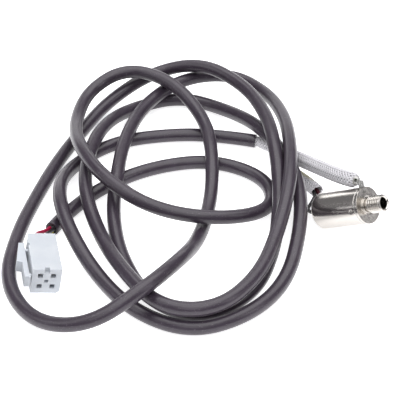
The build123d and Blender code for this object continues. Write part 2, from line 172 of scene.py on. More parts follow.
def finish(name, light, dark, size, rough, depth, metal=0.0, stretch=(1, 1, 1), turn=(0, 0, 0), **sockets):
    """A finish whose tone, gloss and relief all follow one grain of a real size."""
    made, tree, shader = blank(name)
    grain = grain_of(tree, size, stretch, turn)
    tree.links.new(blended(tree, grain, linear(dark), linear(light)), shader.inputs["Base Color"])
    tree.links.new(spread(tree, grain, rough[0], rough[1]), shader.inputs["Roughness"])
    tree.links.new(relief(tree, grain, depth), shader.inputs["Normal"])
    shader.inputs["Metallic"].default_value = metal
    for key, value in sockets.items():
        shader.inputs[key.replace("_", " ")].default_value = value
    return made


TILT = math.radians(30)
ALONG_CAN = (0, TILT, 0)  # turns a pattern so that its x runs along the sensor's axis

# Bright nickel plate over turned steel: mirror-like, with hair-fine rings from the lathe.
nickel = finish(
    "nickel_plate_turned", "#cac6c1", "#c3bfba", 0.35, (0.15, 0.25), 0.003, metal=1.0,
    stretch=(0.16, 4, 4), turn=ALONG_CAN,
)
# Tinned sheet steel, pressed: greyer and duller than the plate, with soft smears.
tinned = finish("tinned_sheet_pressed", "#c9c8c5", "#b0afac", 0.5, (0.2, 0.34), 0.005, metal=1.0)
# Drawn tinned wire: bright with fine streaks.
wire = finish("tinned_wire_drawn", "#d0cdc8", "#9c9994", 0.25, (0.2, 0.35), 0.004, metal=1.0)
# Peened steel pin: small hammered facets.
peened = finish("steel_pin_peened", "#c2bfba", "#88857f", 0.3, (0.2, 0.4), 0.02, metal=1.0)
# Tin-plated brass strip, pressed: warm grey.
contact = finish("tinned_brass_pressed", "#c6bfae", "#948b78", 0.5, (0.2, 0.4), 0.006, metal=1.0)
# Chloroprene rubber, moulded: dead matt with a faint bloom.
rubber = finish("chloroprene_moulded", "#2b2a2c", "#1c1b1d", 0.6, (0.6, 0.8), 0.012)
# Epoxy potting, cast: black and glossy with slow ripples.
epoxy = finish("epoxy_cast", "#1f1f20", "#151516", 2.5, (0.15, 0.3), 0.03)
# Phenolic moulding for the cell's holder.
phenolic = finish("phenolic_moulded", "#2a2725", "#1b1917", 0.5, (0.4, 0.55), 0.01)
# Glass-epoxy board under green solder mask: a faint weave shows through.
board = finish("glass_epoxy_solder_mask", "#2e6b3c", "#1f5230", 0.5, (0.3, 0.45), 0.01)
# Polyester film, rolled: amber and smooth.
film = finish("polyester_film_rolled", "#c9a45e", "#b38c47", 3.0, (0.12, 0.25), 0.006)
# Solder, reflowed: bright grey with a grainy set.
solder = finish("tin_solder_reflowed", "#c9c8c6", "#9d9c9a", 0.25, (0.2, 0.38), 0.01, metal=1.0)
# Drawn steel cell case.
cell = finish("cell_case_drawn", "#bdb7a9", "#97907f", 0.5, (0.2, 0.32), 0.006, metal=1.0)
# PVC insulation, extruded, in crimson, crimson darkened as painted shade, and black: glossy with faint draw
# lines.
red_pvc = finish("pvc_insulation_crimson", "#ad1846", "#861032", 0.9, (0.28, 0.42), 0.008)
red_pvc_darkened_as_shade = finish("pvc_insulation_dark_red", "#4a1420", "#370e18", 0.9, (0.3, 0.45), 0.008)
black_pvc = finish("pvc_insulation_black", "#2c2a2d", "#1c1a1d", 0.9, (0.28, 0.42), 0.008)

# Borosilicate window, polished: clear, with the faintest dust.
window, tree, shader = blank("borosilicate_polished")
tree.links.new(spread(tree, grain_of(tree, 0.4), 0.0, 0.06), shader.inputs["Roughness"])
shader.inputs["Transmission Weight"].default_value = 1.0
shader.inputs["IOR"].default_value = 1.47

# PVC insulation in two colours, extruded as one: green with a yellow stripe down two sides.
earth_pvc, tree, shader = blank("pvc_insulation_yellow_green")
position = add(tree, "ShaderNodeTexCoord").outputs["UV"]
around = add(tree, "ShaderNodeSeparateXYZ", {"Vector": position}).outputs["Y"]
stripe = add(tree, "ShaderNodeMath", {0: around, 1: 4 * math.pi}, operation="MULTIPLY").outputs[0]
stripe = add(tree, "ShaderNodeMath", {0: stripe}, operation="SINE").outputs[0]
stripe = add(tree, "ShaderNodeMath", {0: stripe, 1: 0.0}, operation="GREATER_THAN").outputs[0]
tree.links.new(blended(tree, stripe, linear("#4f7d2a"), linear("#d8c52c")), shader.inputs["Base Color"])
tree.links.new(spread(tree, grain_of(tree, 0.9), 0.28, 0.42), shader.inputs["Roughness"])

# Natural nylon, injection moulded: milky, a little clear at thin edges, with a soft satin skin.
nylon, tree, shader = blank("nylon_natural_moulded")
cloud = grain_of(tree, 6.0)
skin = grain_of(tree, 0.18, detail=2.0)
tree.links.new(blended(tree, cloud, linear("#c4c8cd"), linear("#bbc0c7")), shader.inputs["Base Color"])
tree.links.new(spread(tree, skin, 0.3, 0.42), shader.inputs["Roughness"])
tree.links.new(relief(tree, skin, 0.004, relief(tree, cloud, 0.03)), shader.inputs["Normal"])
shader.inputs["Subsurface Weight"].default_value = 0.35
shader.inputs["Subsurface Radius"].default_value = (1.0, 1.0, 1.0)
shader.inputs["Subsurface Scale"].default_value = 0.0015
shader.inputs["IOR"].default_value = 1.53

# PVC jacket, extruded and handled: near black with a slight purple cast, soft long draw lines,
# dull scuffs, and a faint chalky bloom between them.
jacket, tree, shader = blank("pvc_jacket_extruded")
lines = grain_of(tree, 0.55, stretch=(40, 1, 1), space="UV", detail=3.0)
scuffs = grain_of(tree, 5.0, detail=6.0, rough=0.7)
pores = grain_of(tree, 0.22, detail=2.0)
tone = blended(tree, scuffs, linear("#2f2731"), linear("#39313c"))
specks = grain_of(tree, 0.5, detail=1.0)
specks = add(
    tree,
    "ShaderNodeMapRange",
    {"Value": specks, "From Min": 0.66, "From Max": 0.74, "To Min": 0.0, "To Max": 0.5},
).outputs["Result"]
tone = add(
    tree, "ShaderNodeMix", {"Factor": specks, 6: tone, 7: linear("#6d6870")}, data_type="RGBA"
).outputs[2]
tree.links.new(tone, shader.inputs["Base Color"])
gloss = add(tree, "ShaderNodeMath", {0: lines, 1: 0.25, 2: 0.0}, operation="MULTIPLY_ADD").outputs[0]
gloss = add(tree, "ShaderNodeMath", {0: scuffs, 1: 0.35, 2: gloss}, operation="MULTIPLY_ADD").outputs[0]
tree.links.new(spread(tree, gloss, 0.3, 0.46), shader.inputs["Roughness"])
tree.links.new(relief(tree, pores, 0.002, relief(tree, lines, 0.01)), shader.inputs["Normal"])
shader.inputs["IOR"].default_value = 1.52

# Glass yarn, braided and lightly varnished: white, silky, each yarn streaked by its filaments.
# A grey-green painted shade lies on the sleeves where they run side by side, near the cable.
GAP_SHADE_MIDDLE, GAP_SHADE_SIZE = (-30.5, 16.0, 4.7), (9.5, 2.0, 2.0)
braid, tree, shader = blank("glass_yarn_braided")
yarn_number = add(tree, "ShaderNodeAttribute", attribute_name="yarn").outputs["Fac"]
filaments = add(tree, "ShaderNodeAttribute", attribute_name="round").outputs["Fac"]
FILAMENT_STREAKS = 18.0
filaments = add(
    tree, "ShaderNodeMath", {0: filaments, 1: FILAMENT_STREAKS, 2: yarn_number}, operation="MULTIPLY_ADD"
).outputs[0]
silk = add(
    tree, "ShaderNodeTexNoise", {"W": filaments, "Scale": 1.0, "Detail": 1.0}, noise_dimensions="1D"
).outputs["Fac"]
dirt = grain_of(tree, 2.5)
# The painted shade's place: a ball round the gap between the two sleeves.
spot = add(
    tree,
    "ShaderNodeMapping",
    {
        "Vector": add(tree, "ShaderNodeTexCoord").outputs["Object"],
        "Location": [v * MM for v in GAP_SHADE_MIDDLE],
        "Rotation": (0, 0, math.radians(-19)),
        "Scale": [v * MM for v in GAP_SHADE_SIZE],
    },
    vector_type="TEXTURE",
).outputs[0]
sleeve_gap_shade = add(tree, "ShaderNodeTexGradient", {"Vector": spot}, gradient_type="SPHERICAL").outputs["Fac"]
sleeve_gap_shade = add(
    tree,
    "ShaderNodeMapRange",
    {"Value": sleeve_gap_shade, "From Min": 0.0, "From Max": 0.45, "To Min": 0.0, "To Max": 0.8},
).outputs["Result"]
clean = blended(tree, dirt, linear("#dfdee1"), linear("#d2d0d4"))
clean = add(
    tree, "ShaderNodeMix", {"Factor": silk, 6: clean, 7: linear("#cac8cd")}, data_type="RGBA"
).outputs[2]
# Mixes the grey-green painted shade into the yarn's colour.
yarn_with_gap_shade = add(
    tree, "ShaderNodeMix", {"Factor": sleeve_gap_shade, 6: clean, 7: linear("#b9b58c")}, data_type="RGBA"
).outputs[2]
tree.links.new(yarn_with_gap_shade, shader.inputs["Base Color"])
tree.links.new(spread(tree, silk, 0.45, 0.65), shader.inputs["Roughness"])
tree.links.new(relief(tree, silk, 0.03), shader.inputs["Normal"])
shader.inputs["Sheen Weight"].default_value = 0.25

# The varnished yarns deeper in the sleeve: their grey is painted shade, the shade that shows in its gaps.
lining = finish("glass_yarn_grey_as_shade", "#8f8e90", "#79787b", 0.5, (0.5, 0.7), 0.04)

# ================= where the sensor and the plug lie =================

AXIS = Vector((math.cos(TILT), 0, math.sin(TILT)))
TOP = Vector((-math.sin(TILT), 0, math.cos(TILT)))
SIDE = Vector((0, 1, 0))
CAN_R = 6.3
REAR_U = -20.7
CAN_ROUND = 1.6
NOSE_L = 6.8
NOSE_R = 3.0
NOSE_TIP_R = 2.6
FACE = (
    (19.1 * math.cos(TILT) + 4.7 * math.sin(TILT) + CAN_ROUND
     - NOSE_L * math.cos(TILT) - NOSE_TIP_R * math.sin(TILT)) / 2,
    0,
    4.7 * math.cos(TILT) + CAN_ROUND + 19.1 * math.sin(TILT),
)
FACE = Vector(FACE)


def at(u, radius=0.0, angle=0.0):
    """A point by its place along the sensor's axis, its radius and its angle from the top towards +Y."""
    turn = math.radians(angle)
    return FACE + AXIS * u + (TOP * math.cos(turn) + SIDE * math.sin(turn)) * radius


# ================= making meshes =================


def piece(name, mesh, material, body, stands_for=()):
    """A finished mesh as a piece: its material, its body and the nodes it stands for."""
    made = bpy.data.objects.new(name, mesh)
    bpy.context.scene.collection.objects.link(made)
    if material is not None:
        mesh.materials.clear()
        mesh.materials.append(material)
    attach(made, body)
    if stands_for:
        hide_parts(*stands_for)
    return made


def mesh_of(name, points, faces, smooth=True):
    """A mesh from points in millimetres."""
    made = bpy.data.meshes.new(name)
    made.from_pydata([tuple(Vector(p) * MM) for p in points], [], faces)
    made.polygons.foreach_set("use_smooth", [smooth] * len(faces))
    return made


def outward(mesh):
    """Turns every face of a closed mesh outwards."""
    work = bmesh.new()
    work.from_mesh(mesh)
    bmesh.ops.remove_doubles(work, verts=work.verts, dist=1e-7)
    bmesh.ops.recalc_face_normals(work, faces=work.faces)
    work.to_mesh(mesh)
    work.free()
    return mesh


def rounded(outline, radius, steps=4):
    """A closed outline with every corner rounded, by as much as its shorter side allows."""
    made = []
    count = len(outline)
    for i, corner in enumerate(outline):
        here = np.array(corner, float)
        back, ahead = np.array(outline[i - 1], float) - here, np.array(outline[(i + 1) % count], float) - here
        reach = min(radius, 0.45 * np.linalg.norm(back), 0.45 * np.linalg.norm(ahead))
        start, end = here + back / np.linalg.norm(back) * reach, here + ahead / np.linalg.norm(ahead) * reach
        for step in range(steps + 1):
            t = step / steps
            made.append((1 - t) ** 2 * start + 2 * t * (1 - t) * here + t * t * end)
    return [tuple(p) for p in made]


def lathed(name, outline, sides=128, cut=None):
    """A closed ring turned about the sensor's axis from an outline of (u, radius); cut may lower a radius."""
    points, faces = [], []
    count = len(outline)
    for u, radius in outline:
        for k in range(sides):
            angle = 2 * math.pi * k / sides
            depth = cut(u, angle) if cut else radius
            reach = min(radius, depth)
            points.append(FACE + AXIS * u + (SIDE * math.cos(angle) + TOP * math.sin(angle)) * reach)
    for i in range(count):
        for k in range(sides):
            j, m = (i + 1) % count, (k + 1) % sides
            faces.append((i * sides + k, i * sides + m, j * sides + m, j * sides + k))
    return outward(mesh_of(name, points, faces))


def sharp_flats(made, angle=35):
    """Keeps the flats of a rounded metal or moulded piece flat in the light."""
    made.data.set_sharp_from_angle(angle=math.radians(angle))
    weighted = made.modifiers.new("flats", "WEIGHTED_NORMAL")
    weighted.keep_sharp = True
    return made


def line_of(points):
    """The smooth line that a route's points control, read from its spline, in metres."""
    curve = bpy.data.curves.new("route", "CURVE")
    curve.dimensions = "3D"
    spline = curve.splines.new("NURBS")
    spline.points.add(len(points) - 1)
    for control, point in zip(spline.points, points):
        control.co = (*(Vector(point) * MM), 1)
    spline.order_u = 3
    spline.use_endpoint_u = True
    spline.resolution_u = 16
    holder = bpy.data.objects.new("route", curve)
    bpy.context.scene.collection.objects.link(holder)
    mesh = bpy.data.meshes.new_from_object(holder)
    line = np.array([v.co for v in mesh.vertices], float)
    bpy.data.objects.remove(holder)
    return line


def even(line, step):
    """A line's points taken anew at an even spacing, and how far along it each lies."""
    runs = np.linalg.norm(np.diff(line, axis=0), axis=1)
    far = np.concatenate([[0], np.cumsum(runs)])
    count = max(2, int(round(far[-1] / step)))
    marks = np.linspace(0, far[-1], count + 1)
    return np.stack([np.interp(marks, far, line[:, k]) for k in range(3)], 1), marks


def hoops(line):
    """For each point of a line, two directions across it that turn no more than the line does."""
    ahead = np.gradient(line, axis=0)
    ahead /= np.linalg.norm(ahead, axis=1)[:, None]
    across = np.cross(ahead[0], [0, 0, 1])
    sides, tops = [], []
    for direction in ahead:
        across = across - direction * (across @ direction)
        across /= np.linalg.norm(across)
        sides.append(across.copy())
        tops.append(np.cross(across, direction))
    return np.array(sides), np.array(tops)


def skin(name, rings, around):
    """A closed skin over rings of (centre, side, top, radius by angle, mark), its UV map in metres along."""
    points, faces = [], []
    for centre, side, top, reach, _ in rings:
        for k in range(around):
            angle = 2 * math.pi * k / around
            points.append(tuple(centre + (side * math.cos(angle) + top * math.sin(angle)) * reach(angle)))
    for i in range(len(rings) - 1):
        for k in range(around):
            m = (k + 1) % around
            faces.append((i * around + k, i * around + m, (i + 1) * around + m, (i + 1) * around + k))
    faces.append(tuple(range(around)))
    faces.append(tuple((len(rings) - 1) * around + k for k in range(around)))
    mesh = bpy.data.meshes.new(name)
    mesh.from_pydata(points, [], faces)
    work = bmesh.new()
    work.from_mesh(mesh)
    bmesh.ops.recalc_face_normals(work, faces=work.faces)
    layer = work.loops.layers.uv.new("UVMap")
    for face in work.faces:
        face.smooth = len(face.verts) == 4
        columns = [v.index % around for v in face.verts]
        wraps = face.smooth and max(columns) - min(columns) > 1
        for loop, column in zip(face.loops, columns):
            turn = (column + (around if wraps and column == 0 else 0)) / around
            loop[layer].uv = (rings[loop.vert.index // around][4], turn)
    work.to_mesh(mesh)
    work.free()
    return mesh


def tube(name, line, marks, radius, around=20, lip=((0, 0),)):
    """A tube along a line, its radius given by radius(mark, angle). The lip at each end is a list of
    how far in from the end and how far below that radius each of its rings lies, outermost first."""
    sides, tops = hoops(line)
    rings = []
    for end, inward in ((0, 1), (-1, -1)):
        ahead = np.cross(tops[end], sides[end]) * inward
        lips = [
            (
                line[end] + ahead * inset,
                sides[end],
                tops[end],
                lambda angle, drop=drop, mark=marks[end]: radius(mark, angle) - drop,
                marks[end] + inward * inset,
            )
            for inset, drop in lip
        ]
        rings.append(lips)
    middle = [
        (line[i], sides[i], tops[i], lambda angle, mark=marks[i]: radius(mark, angle), marks[i])
        for i in range(1, len(line) - 1)
    ]
    return skin(name, rings[0][::-1] + middle + rings[1], around)


def merged_copy(node):
    """A CAD node's mesh with its loose triangles joined and its flats whole."""
    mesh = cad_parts[node].data.copy()
    work = bmesh.new()
    work.from_mesh(mesh)
    bmesh.ops.remove_doubles(work, verts=work.verts, dist=1e-7)
    bmesh.ops.dissolve_limit(work, angle_limit=math.radians(1), verts=work.verts, edges=work.edges)
    work.to_mesh(mesh)
    work.free()
    return mesh


def softened(node, name, material, body, width, angle=30):
    """A CAD node remade with its edges rounded to a width in millimetres."""
    made = piece(name, merged_copy(node), material, body, (node,))
    made.data.polygons.foreach_set("use_smooth", [True] * len(made.data.polygons))
    edges = made.modifiers.new("edges", "BEVEL")
    edges.width = width * MM
    edges.segments = 3
    edges.limit_method = "ANGLE"
    edges.angle_limit = math.radians(angle)
    edges.miter_outer = "MITER_ARC"
    edges.use_clamp_overlap = True
    edges.harden_normals = False
    return sharp_flats(made, 40)


# ================= the floor =================

FLOOR_SIZE = 4000
FLOOR_GLOW = 0.75
# Opal acrylic, sanded and lit softly from below, so that shadows on it stay faint.
paper, tree, shader = blank("opal_acrylic_sanded")
tree.links.new(
    blended(tree, grain_of(tree, 40.0), linear("#f7f7f8"), linear("#f4f4f6")), shader.inputs["Base Color"]
)
shader.inputs["Roughness"].default_value = 0.8
shader.inputs["Emission Color"].default_value = (1, 1, 1, 1)
shader.inputs["Emission Strength"].default_value = FLOOR_GLOW
half = FLOOR_SIZE / 2
corners = [(-half, -half, 0), (half, -half, 0), (half, half, 0), (-half, half, 0)]
floor = bpy.data.objects.new("floor", mesh_of("floor", corners, [(0, 1, 2, 3)], False))
bpy.context.scene.collection.objects.link(floor)
floor.data.materials.append(paper)

# ================= the cable =================

CABLE = [
    (-56, 25, 2.5), (-69, 20, 2.5), (-84, 10, 2.5), (-98, -7, 2.5), (-100, -28, 2.5), (-90, -47, 8.4),
    (-74, -61, 8.7), (-55, -70, 2.7), (-32, -78, 2.5), (-11, -75, 2.5), (-1, -57, 2.5), (-1, -36, 2.5),
    (-10, -15, 6.7), (-22, 3, 8.9), (-37, 16, 8.9), (-56, 27, 8.4), (-77, 35, 3.3), (-97, 33, 2.5),
    (-106, 16, 2.9), (-103, -6, 8.2), (-94, -26, 8.4), (-81, -43, 8.2), (-64, -56, 5.8), (-45, -68, 8.0),
    (-22, -77, 8.2), (-7, -67, 8.2), (-6, -45, 8.2), (-14, -22, 9.5), (-23, -2, 14.0), (-35, 16, 14.4),
    (-49, 33, 12.2), (-66, 47, 8.7), (-86, 52, 7.5), (-99, 37, 8.2), (-99, 13, 8.2), (-91, -8, 8.2),
    (-80, -26, 8.2), (-68, -44, 4.4), (-52, -59, 2.5), (-31, -71, 2.5), (-12, -68, 2.5), (-6, -47, 2.5),
    (-14, -24, 3.1), (-25, -5, 8.4), (-38, 11, 14.0), (-53, 27, 14.7), (-71, 39, 14.2), (-93, 42, 14.9),
    (-110, 33, 9.1), (-116, 13, 3.8), (-112, -8, 2.5), (-106, -29, 2.5), (-98, -49, 2.5), (-89, -69, 2.5),
    (-75, -91, 2.5), (-54, -101, 2.5), (-35, -96, 7.2), (-27, -78, 14.2), (-29, -57, 11.5), (-37, -36, 2.7),
    (-47, -15, 2.9), (-59, 2, 8.4), (-74, 18, 8.7), (-95, 26, 13.8), (-115, 23, 14.0), (-121, 7, 9.5),
    (-111, -13, 8.9), (-95, -29, 14.0), (-76, -39, 14.2), (-54, -40, 10.7), (-34, -29, 8.4), (-26, -7, 2.9),
    (-39, 8, 2.5), (-61, 6, 2.5), (-76, -10, 2.5), (-83, -31, 2.5), (-83, -50, 2.5), (-80, -61.5, 3.6),
]
CABLE_R = 2.45
CABLE_STEP = 1.0
MOUTH_FLARE, MOUTH_FLARE_LENGTH = 0.05, 2.5
FLATTEST = 0.06  # how far below round the jacket dips, here and there
# The mouths: for each ring, how far in and how far below the outside. A rounded rim, the wall, a recess.
JACKET_LIP = [
    (inset * MM, drop * MM)
    for inset, drop in ((0.18, 0), (0.05, 0.05), (0, 0.18), (0, 0.7), (0.15, 0.85), (0.9, 0.88))
]

cable_line, cable_marks = even(line_of(CABLE), CABLE_STEP * MM)


def jacket_radius(mark, angle):
    """The jacket's radius: a little flared at its start, and never quite round."""
    flare = MOUTH_FLARE * math.exp(-((mark / (MOUTH_FLARE_LENGTH * MM)) ** 2))
    spot_on_jacket = Vector((mark * 60, math.cos(angle) * 0.6, math.sin(angle) * 0.6))
    dip = FLATTEST * (0.5 + 0.5 * noise.noise(spot_on_jacket))
    return (CABLE_R + flare - dip) * MM


cable = piece(
    "cable_jacket_extruded",
    tube("cable_jacket_extruded", cable_line, cable_marks, jacket_radius, 24, JACKET_LIP),
    jacket, PROBE, ("cable_jacket",),
)

# ================= the braided sleeves =================

EARTH_SLEEVE = [
    (-56, 25, 2.5), (-52.36, 26.4, 2.5), (-47.2, 25.6, 2.6), (-41.6, 23.6, 3.4), (-34.9, 20.5, 6.0),
    (-26.3, 15.4, 10.0), (-16.5, 9.5, 14.5), (-7.0, 4.4, 18.6), (-1.2, 2.8, 20.6), (-0.1, 2.5, 20.98),
]
SIGNAL_SLEEVE = [
    (-39.5, 16.6, 2.5), (-36.0, 16.3, 2.5), (-30.6, 15.0, 2.6), (-24.6, 12.9, 3.0), (-19.8, 10.5, 3.6),
]
YARNS = 12  # each way round
YARN_STEP = 0.25
YARN_WIDTH, YARN_THICKNESS, YARN_RISE = 0.64, 0.26, 0.13
FLAT_SPREAD = 0.3  # how much wider a mouth grows for each share that it is flattened by
FLAT_LENGTH = 3.5  # how many radii from its mouth a sleeve starts to flatten


def braiding():
    """The tree that lays yarns both ways round a line, each passing over two and under two."""
    tree = bpy.data.node_groups.new("braided_yarns", "GeometryNodeTree")
    for name, kind in (
        ("Line", "Geometry"), ("Yarns", "Int"), ("Radius", "Float"), ("Step", "Float"), ("Width", "Float"),
        ("Thickness", "Float"), ("Rise", "Float"), ("Tuck", "Float"), ("Tuck Length", "Float"),
        ("Length", "Float"), ("Gather", "Float"), ("Gather Length", "Float"), ("Flattening", "Float"),
        ("Yarn", "Material"),
    ):
        tree.interface.new_socket(name, in_out="INPUT", socket_type="NodeSocket" + kind)
    tree.interface.new_socket("Sleeve", in_out="OUTPUT", socket_type="NodeSocketGeometry")
    given = tree.nodes.new("NodeGroupInput").outputs

    def maths(operation, *values):
        return add(tree, "ShaderNodeMath", dict(enumerate(values)), operation=operation).outputs[0]

    def vector(operation, *values):
        made = add(tree, "ShaderNodeVectorMath", dict(enumerate(values)), operation=operation)
        return made.outputs["Vector"]

    def scaled(direction, size):
        return add(tree, "ShaderNodeVectorMath", {0: direction, "Scale": size}, operation="SCALE").outputs[0]

    centre = add(tree, "GeometryNodeMeshToCurve", {"Mesh": given["Line"]}).outputs["Curve"]
    centre = add(
        tree, "GeometryNodeResampleCurve", {"Curve": centre, "Length": given["Step"]}, mode="LENGTH"
    ).outputs["Curve"]
    centre = add(tree, "GeometryNodeSetCurveNormal", {"Curve": centre}, mode="MINIMUM_TWIST").outputs["Curve"]
    section = add(
        tree, "GeometryNodeCurvePrimitiveCircle", {"Resolution": 8, "Radius": 1.0}, mode="RADIUS"
    ).outputs["Curve"]
    half_width = maths("MULTIPLY", given["Width"], 0.5)
    half_height = maths("MULTIPLY", given["Thickness"], 0.5)
    size = add(tree, "ShaderNodeCombineXYZ", {"X": half_height, "Y": half_width, "Z": 1.0}).outputs[0]
    section = add(
        tree,
        "GeometryNodeStoreNamedAttribute",
        {
            "Geometry": section,
            "Name": "round",
            "Value": add(tree, "GeometryNodeSplineParameter").outputs["Factor"],
        },
        data_type="FLOAT",
        domain="POINT",
    ).outputs["Geometry"]
    section = add(tree, "GeometryNodeTransform", {"Geometry": section, "Scale": size}).outputs["Geometry"]
    full = 2 * math.pi
    along = add(tree, "GeometryNodeSplineParameter").outputs["Length"]
    aside = add(tree, "GeometryNodeInputNormal").outputs["Normal"]
    ahead = add(tree, "GeometryNodeInputTangent").outputs["Tangent"]
    upright = vector("CROSS_PRODUCT", ahead, aside)
    # One turn in a length equal to the way round lays the yarns at 45 degrees.
    turns = maths("DIVIDE", along, maths("MULTIPLY", given["Radius"], full))
    crossings = maths("MULTIPLY", turns, maths("MULTIPLY", given["Yarns"], 2.0))
    eased = add(
        tree,
        "ShaderNodeMapRange",
        {"Value": along, "From Max": given["Tuck Length"], "To Min": given["Tuck"], "To Max": 1.0},
        interpolation_type="SMOOTHSTEP",
    ).outputs["Result"]
    left = maths("SUBTRACT", given["Length"], along)
    gathered = add(
        tree,
        "ShaderNodeMapRange",
        {"Value": left, "From Max": given["Gather Length"], "To Min": given["Gather"], "To Max": 1.0},
        interpolation_type="SMOOTHSTEP",
    ).outputs["Result"]
    eased = maths("MULTIPLY", eased, gathered)
    opening = add(
        tree,
        "ShaderNodeMapRange",
        {
            "Value": left,
            "From Max": maths("MULTIPLY", given["Radius"], FLAT_LENGTH),
            "To Min": given["Flattening"],
            "To Max": 0.0,
        },
        interpolation_type="SMOOTHSTEP",
    ).outputs["Result"]
    ways = []
    for hand in (1, -1):
        laid = add(
            tree,
            "GeometryNodeDuplicateElements",
            {"Geometry": centre, "Amount": given["Yarns"]},
            domain="SPLINE",
        )
        number = laid.outputs["Duplicate Index"]
        first_turn = maths("MULTIPLY", maths("DIVIDE", number, given["Yarns"]), full)
        turn = maths("MULTIPLY_ADD", turns, full * hand, first_turn)
        beat = maths("MULTIPLY_ADD", crossings, hand, maths("MULTIPLY_ADD", number, 2.0, -0.5))
        rise = maths("MULTIPLY", maths("COSINE", maths("MULTIPLY", beat, math.pi / 2)), hand)
        level = maths("SUBTRACT", given["Radius"], maths("ADD", half_height, given["Rise"]))
        reach = maths("MULTIPLY_ADD", rise, given["Rise"], maths("MULTIPLY", level, eased))
        widened = maths("MULTIPLY_ADD", opening, FLAT_SPREAD, 1.0)
        lowered = maths("MULTIPLY_ADD", opening, -1.0, 1.0)
        across = scaled(aside, maths("MULTIPLY", maths("COSINE", turn), widened))
        upward = scaled(upright, maths("MULTIPLY", maths("SINE", turn), lowered))
        radial = vector("ADD", across, upward)
        yarns = add(
            tree,
            "GeometryNodeStoreNamedAttribute",
            {"Geometry": laid.outputs["Geometry"], "Name": "radial", "Value": radial},
            data_type="FLOAT_VECTOR",
            domain="POINT",
        ).outputs["Geometry"]
        yarns = add(
            tree,
            "GeometryNodeStoreNamedAttribute",
            {"Geometry": yarns, "Name": "yarn", "Value": maths("MULTIPLY_ADD", number, 5.3, 70.0 * hand)},
            data_type="FLOAT",
            domain="POINT",
        ).outputs["Geometry"]
        yarns = add(
            tree, "GeometryNodeSetPosition", {"Geometry": yarns, "Offset": scaled(radial, reach)}
        ).outputs["Geometry"]
        kept = add(tree, "GeometryNodeInputNamedAttribute", {"Name": "radial"}, data_type="FLOAT_VECTOR")
        yarns = add(
            tree,
            "GeometryNodeSetCurveNormal",
            {"Curve": yarns, "Normal": kept.outputs["Attribute"]},
            mode="FREE",
        ).outputs["Curve"]
        ways.append(
            add(
                tree,
                "GeometryNodeCurveToMesh",
                {"Curve": yarns, "Profile Curve": section, "Fill Caps": True},
            ).outputs["Mesh"]
        )
    joined = tree.nodes.new("GeometryNodeJoinGeometry")
    for way in ways:
        tree.links.new(way, joined.inputs[0])
    smooth = add(tree, "GeometryNodeSetShadeSmooth", {"Geometry": joined.outputs[0]}).outputs["Geometry"]
    whole = add(tree, "GeometryNodeRealizeInstances", {"Geometry": smooth}).outputs["Geometry"]
    whole = add(tree, "GeometryNodeSetMaterial", {"Geometry": whole, "Material": given["Yarn"]}).outputs[0]
    tree.links.new(whole, tree.nodes.new("NodeGroupOutput").inputs["Sleeve"])
    return tree


BRAIDING = braiding()


def grown(name, points, edges, tree, **inputs):
    """The plain mesh that a tree of geometry nodes grows from some points."""
    seed_mesh = bpy.data.meshes.new(name)
    seed_mesh.from_pydata([tuple(p) for p in points], edges, [])
    holder = bpy.data.objects.new(name, seed_mesh)
    bpy.context.scene.collection.objects.link(holder)
    modifier = holder.modifiers.new("grown", "NODES")
    modifier.node_group = tree
    for item in tree.interface.items_tree:
        if item.in_out == "INPUT" and item.name in inputs:
            modifier[item.identifier] = inputs[item.name]
    bpy.context.view_layer.update()
    made = bpy.data.meshes.new_from_object(holder.evaluated_get(bpy.context.evaluated_depsgraph_get()))
    bpy.data.objects.remove(holder)
    made.name = name
    return made


def sleeve(name, node, route, radius, tuck, tuck_length, gather, gather_length, flattening):
    """A braided sleeve's yarns along a route, with the line and marks they follow."""
    line, marks = even(line_of(route), YARN_STEP * MM)
    yarns = grown(
        name, line, [(i, i + 1) for i in range(len(line) - 1)], BRAIDING,
        **{
            "Yarns": YARNS, "Radius": radius * MM, "Step": YARN_STEP * MM, "Width": YARN_WIDTH * MM,
            "Thickness": YARN_THICKNESS * MM, "Rise": YARN_RISE * MM, "Tuck": tuck,
            "Tuck Length": tuck_length * MM, "Gather": gather, "Gather Length": gather_length * MM,
            "Length": float(marks[-1]), "Flattening": flattening, "Yarn": braid,
        },
    )
    made = piece(name, yarns, None, PROBE, (node,))
    return made, line, marks


earth_braid, earth_line, earth_marks = sleeve(
    "earth_sleeve_braid", "earth_sleeve", EARTH_SLEEVE, 2.68, 0.64, 4.0, 0.72, 1.6, 0.0
)
signal_braid, signal_line, signal_marks = sleeve(
    "signal_sleeve_braid", "signal_sleeve", SIGNAL_SLEEVE, 2.5, 0.9, 1.5, 0.97, 1.0, 0.22
)


def lining_of(name, line, marks, radius, tuck, tuck_length, flattening, short):
    """The inner yarns of a sleeve: a plain tube whose grey is painted shade, showing between the outer ones.
    """
    length = marks[-1]
    inside = (marks >= short * MM) & (marks <= length - short * MM)

    def lining_radius(mark, angle):
        # The same smooth step that draws the yarns in at the tucked end.
        ease = min(1.0, mark / (tuck_length * MM))
        ease = tuck + (1 - tuck) * ease * ease * (3 - 2 * ease)
        opening = max(0.0, 1 - (length - mark) / (FLAT_LENGTH * radius * MM)) * flattening
        squash = math.hypot(math.cos(angle) * (1 + FLAT_SPREAD * opening), math.sin(angle) * (1 - opening))
        return (radius * ease * squash - 2 * YARN_THICKNESS - YARN_RISE) * MM

    return piece(
        name,
        tube(name, line[inside], marks[inside], lining_radius, 24, ((0, 0), (0, 0.00025), (0.003, 0.00025))),
        lining, PROBE,
    )


earth_lining = lining_of("earth_sleeve_lining", earth_line, earth_marks, 2.68, 0.64, 4.0, 0.0, 1.8)
signal_lining = lining_of("signal_sleeve_lining", signal_line, signal_marks, 2.5, 0.9, 1.5, 0.22, 0.3)

# ================= the leads and cores =================

